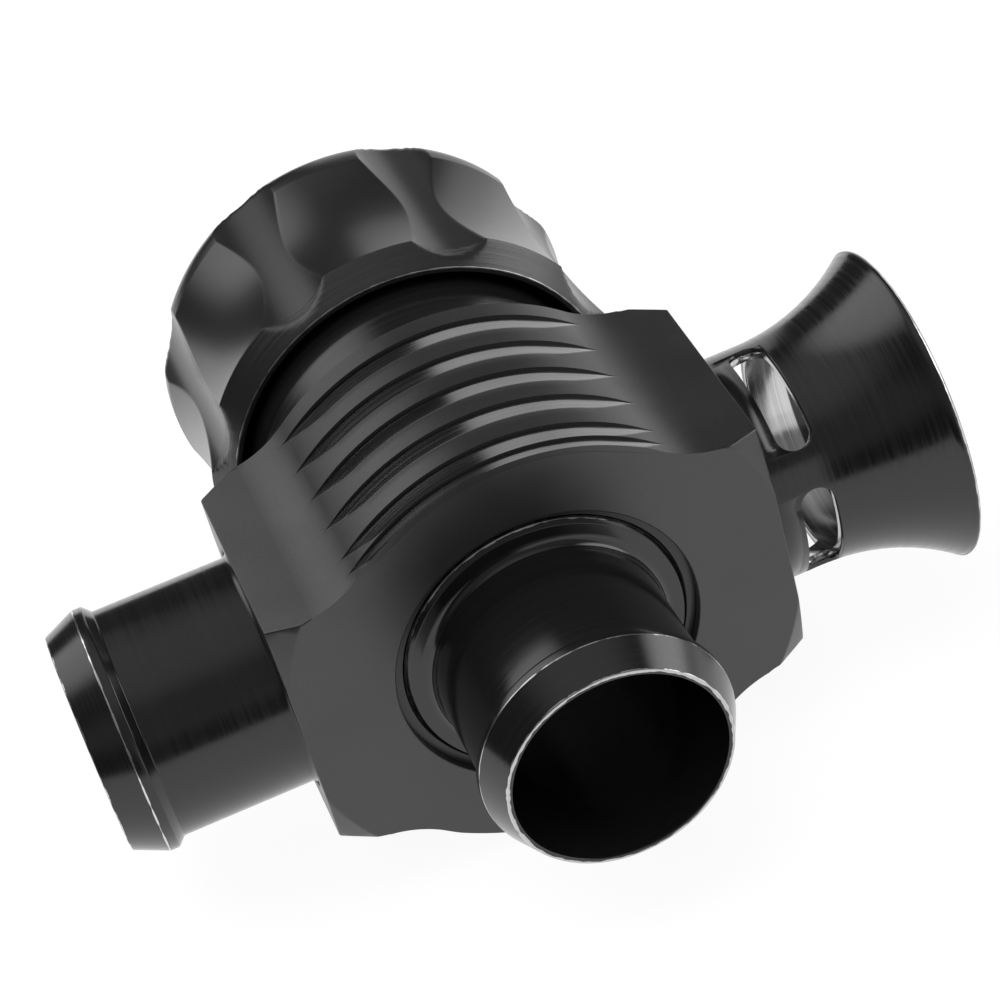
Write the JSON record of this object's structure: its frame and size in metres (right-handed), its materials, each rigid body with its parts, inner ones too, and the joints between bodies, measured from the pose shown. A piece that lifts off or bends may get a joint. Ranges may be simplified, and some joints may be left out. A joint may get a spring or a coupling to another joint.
{
  "type": "blow off valve",
  "caption": "Blow off valve with a finned block body, a fluted adjuster cap, hose barbs for inlet and recirculation, a slotted vent trumpet and a sprung piston inside.",
  "frame": {"origin": "centre of the inlet barb's bead land, on the main axis", "axes": "+Y along the main axis from the inlet to the adjuster cap, +X along the side axis to the vent trumpet, +Z out of the finned face seen in the picture"},
  "size_m": [0.0936, 0.1076, 0.0486],
  "materials": {
    "satin_anodised": "satin black anodised, fine grain on the lands",
    "gloss_anodised": "glossy black anodised",
    "turned_anodised": "glossy black anodised with fine turning lines",
    "cap_anodised": "satin black anodised",
    "black_steel": "blackened",
    "spring_steel": "bright drawn wire",
    "plain_aluminium": "machined",
    "guide_plastic": "plain",
    "washer_plastic": "plain",
    "seal_rubber": "matte"
  },
  "bodies": {
    "housing": {"valve_body": "satin_anodised", "inlet_barb": "gloss_anodised", "inlet_seal": "seal_rubber", "inlet_retaining_ring": "black_steel", "recirculation_barb": "gloss_anodised", "recirculation_seal": "seal_rubber", "vent_trumpet": "turned_anodised", "vent_seal": "seal_rubber", "cap_seal": "seal_rubber", "return_spring": "spring_steel"},
    "piston_group": {"piston": "plain_aluminium", "piston_upper_ring": "guide_plastic", "piston_lower_ring": "guide_plastic", "piston_face_seal": "seal_rubber"},
    "seat_group": {"spring_seat": "plain_aluminium"},
    "cap_group": {"adjuster_cap": "cap_anodised", "thrust_washer": "washer_plastic", "vacuum_nipple": "gloss_anodised", "nipple_seal": "washer_plastic"}
  },
  "joints": [
    {"name": "piston_slide", "type": "slide", "parent": "housing", "child": "piston_group", "axis": [0, 1, 0], "range_m": [0, 0.01], "stiffness_N_per_m": 1600, "springref_m": -0.012, "deforming": ["return_spring"]},
    {"name": "seat_slide", "type": "slide", "parent": "housing", "child": "seat_group", "axis": [0, 1, 0], "range_m": [-0.0016, 0.0016], "deforming": ["return_spring"]},
    {"name": "cap_turn", "type": "hinge", "parent": "seat_group", "child": "cap_group", "pos_m": [0, 0.0692, 0], "axis": [0, 1, 0], "range_deg": [-360, 360]}
  ],
  "couplings": [
    {"joint": "seat_slide", "follows": "cap_turn", "m_per_rad": 0.00023873}
  ]
}
